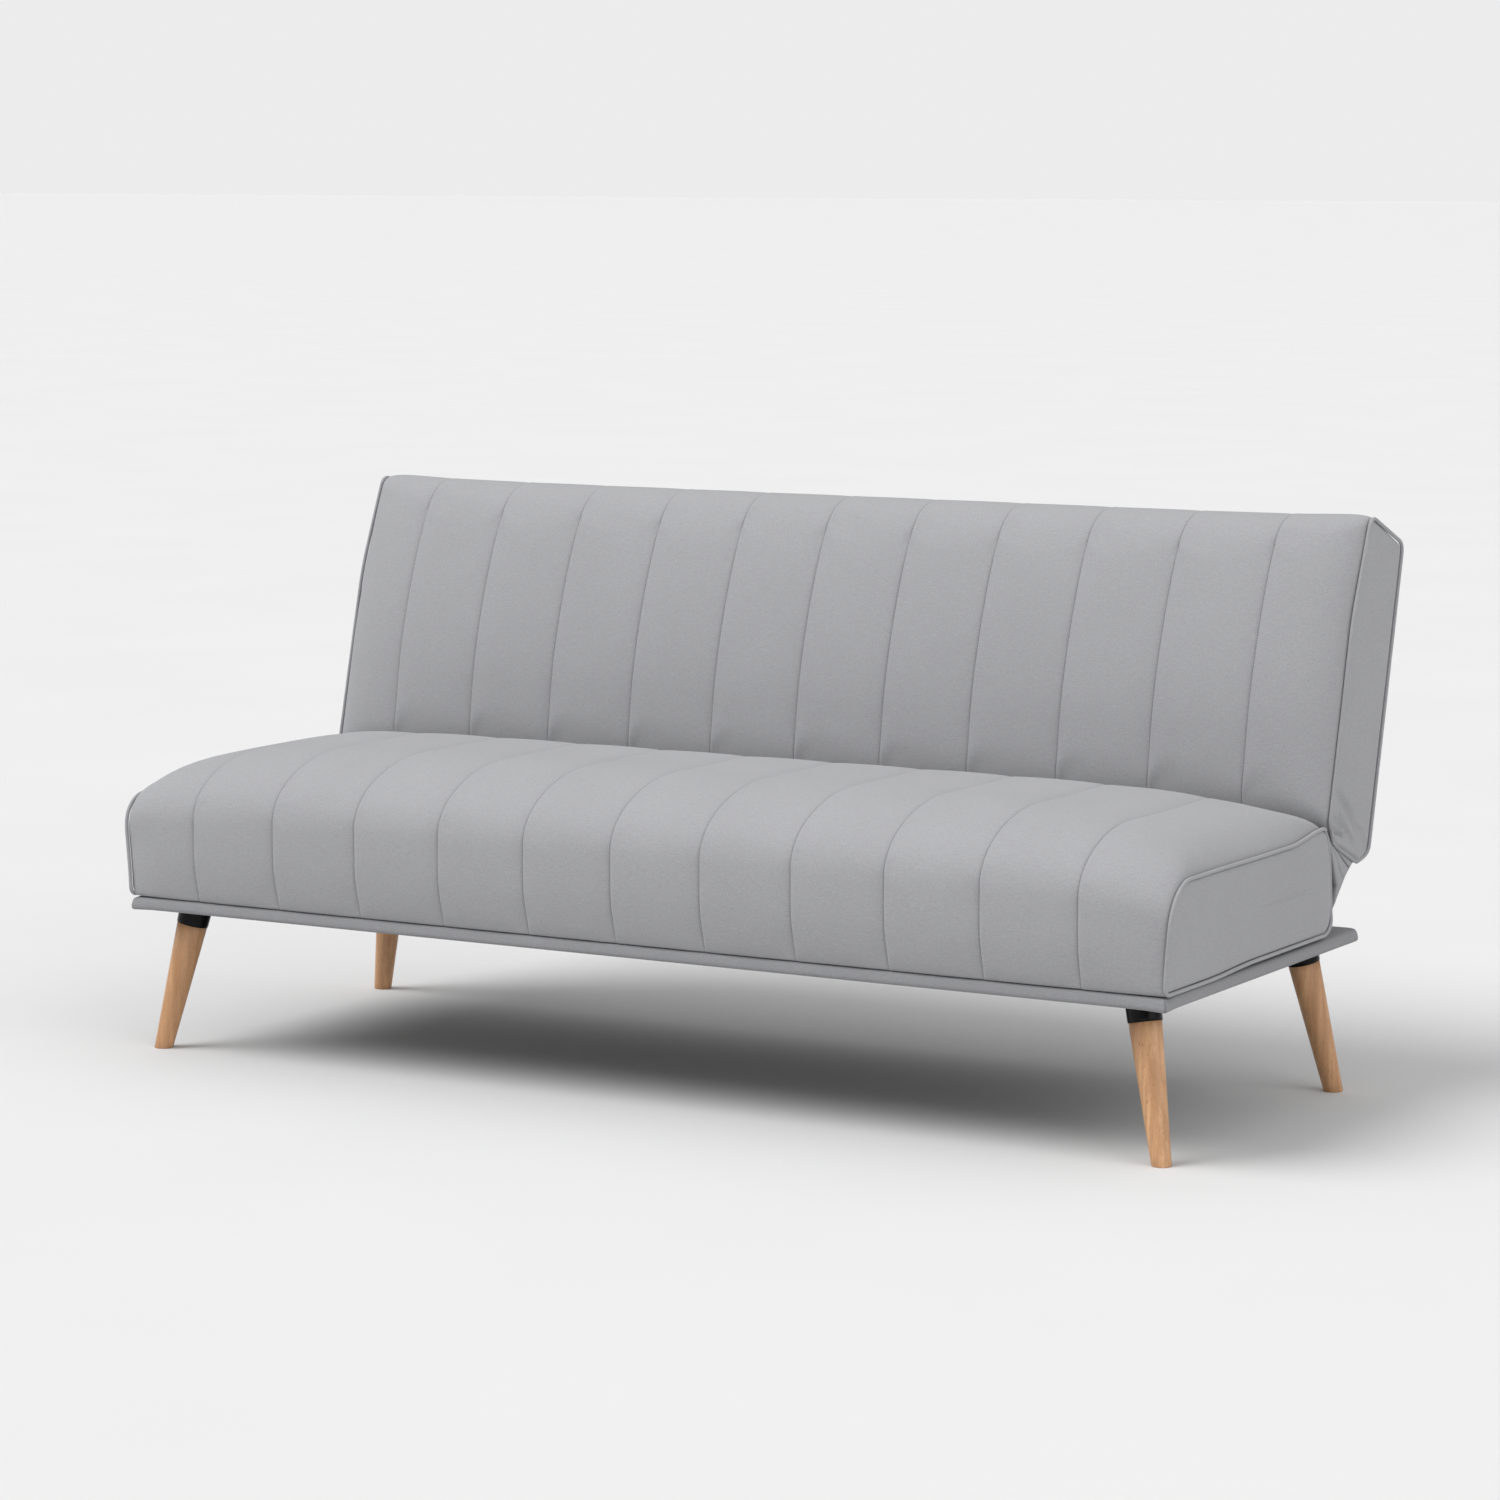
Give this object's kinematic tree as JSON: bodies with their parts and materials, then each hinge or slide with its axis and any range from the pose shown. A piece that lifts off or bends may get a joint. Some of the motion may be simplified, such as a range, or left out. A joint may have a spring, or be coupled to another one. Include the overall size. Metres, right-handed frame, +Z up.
{
  "type": "futon sofa bed",
  "caption": "Armless fabric sofa bed: channel-stitched seat on a slim wrapped platform with splayed wooden legs, and a padded back that reclines flat on two ratchet hinges.",
  "frame": {"origin": "on the floor, in the middle of the sofa's overall width and depth with the back up", "axes": "+X along the sofa to the sitter's left, +Y from the front of the seat to the back, +Z up"},
  "size_m": [1.75, 0.8229, 0.8462],
  "materials": {
    "beech": "satin",
    "black_collar": "matte",
    "plywood": "matte",
    "frame_wood": "matte",
    "grey_weave": "matte",
    "grey_piping": "matte",
    "dark_gusset": "matte",
    "black_cloth": "matte",
    "foam": "matte",
    "elastic": "matte",
    "hinge_steel": "satin",
    "zinc_steel": "satin",
    "spacer_plastic": "matte"
  },
  "bodies": {
    "base": {"collar_front_left": "black_collar", "collar_front_right": "black_collar", "collar_rear_left": "black_collar", "collar_rear_right": "black_collar", "crease_strip": "dark_gusset", "end_web_left": "dark_gusset", "end_web_right": "dark_gusset", "hinge_pin_left": "zinc_steel", "hinge_pin_right": "zinc_steel", "hinge_seat_arm_left": "hinge_steel", "hinge_seat_arm_right": "hinge_steel", "leg_bolts": "zinc_steel", "leg_front_left": "beech", "leg_front_right": "beech", "leg_rear_left": "beech", "leg_rear_right": "beech", "platform_board": "plywood", "platform_wrap": "grey_weave", "seat_arm_screws": "zinc_steel", "seat_bolts": "zinc_steel", "seat_cover": "grey_weave", "seat_cross_rails": "frame_wood", "seat_end_panel_left": "grey_weave", "seat_end_panel_right": "grey_weave", "seat_foam": "foam", "seat_front_rail": "frame_wood", "seat_left_rail": "frame_wood", "seat_piping_left": "grey_piping", "seat_piping_right": "grey_piping", "seat_rear_rail": "frame_wood", "seat_right_rail": "frame_wood", "seat_spacers": "spacer_plastic", "seat_webbing": "elastic", "underside_cloth": "black_cloth"},
    "backrest": {"back_arm_screws": "zinc_steel", "back_bottom_rail": "frame_wood", "back_cover": "grey_weave", "back_cross_stiles": "frame_wood", "back_end_panel_left": "grey_weave", "back_end_panel_right": "grey_weave", "back_foam": "foam", "back_left_stile": "frame_wood", "back_piping_left": "grey_piping", "back_piping_right": "grey_piping", "back_right_stile": "frame_wood", "back_top_rail": "frame_wood", "back_webbing": "elastic", "hinge_back_arm_left": "hinge_steel", "hinge_back_arm_right": "hinge_steel", "pawl_pin_left": "zinc_steel", "pawl_pin_right": "zinc_steel"},
    "pawl_left": {"hinge_pawl_left": "hinge_steel"},
    "pawl_right": {"hinge_pawl_right": "hinge_steel"}
  },
  "joints": [
    {"name": "back_recline", "type": "hinge", "parent": "base", "child": "backrest", "pos_m": [0, 0.18139, 0.366], "axis": [-1, 0, 0], "range_deg": [-8, 75.84], "deforming": ["crease_strip", "end_web_left", "end_web_right"]},
    {"name": "pawl_left_drop", "type": "hinge", "parent": "backrest", "child": "pawl_left", "pos_m": [-0.8175, 0.17349, 0.41646], "axis": [-1, 0, 0], "range_deg": [0, 12]},
    {"name": "pawl_right_drop", "type": "hinge", "parent": "backrest", "child": "pawl_right", "pos_m": [0.8175, 0.17349, 0.41646], "axis": [-1, 0, 0], "range_deg": [0, 12]}
  ],
  "couplings": [
    {"joint": "pawl_right_drop", "follows": "pawl_left_drop", "ratio": 1}
  ]
}
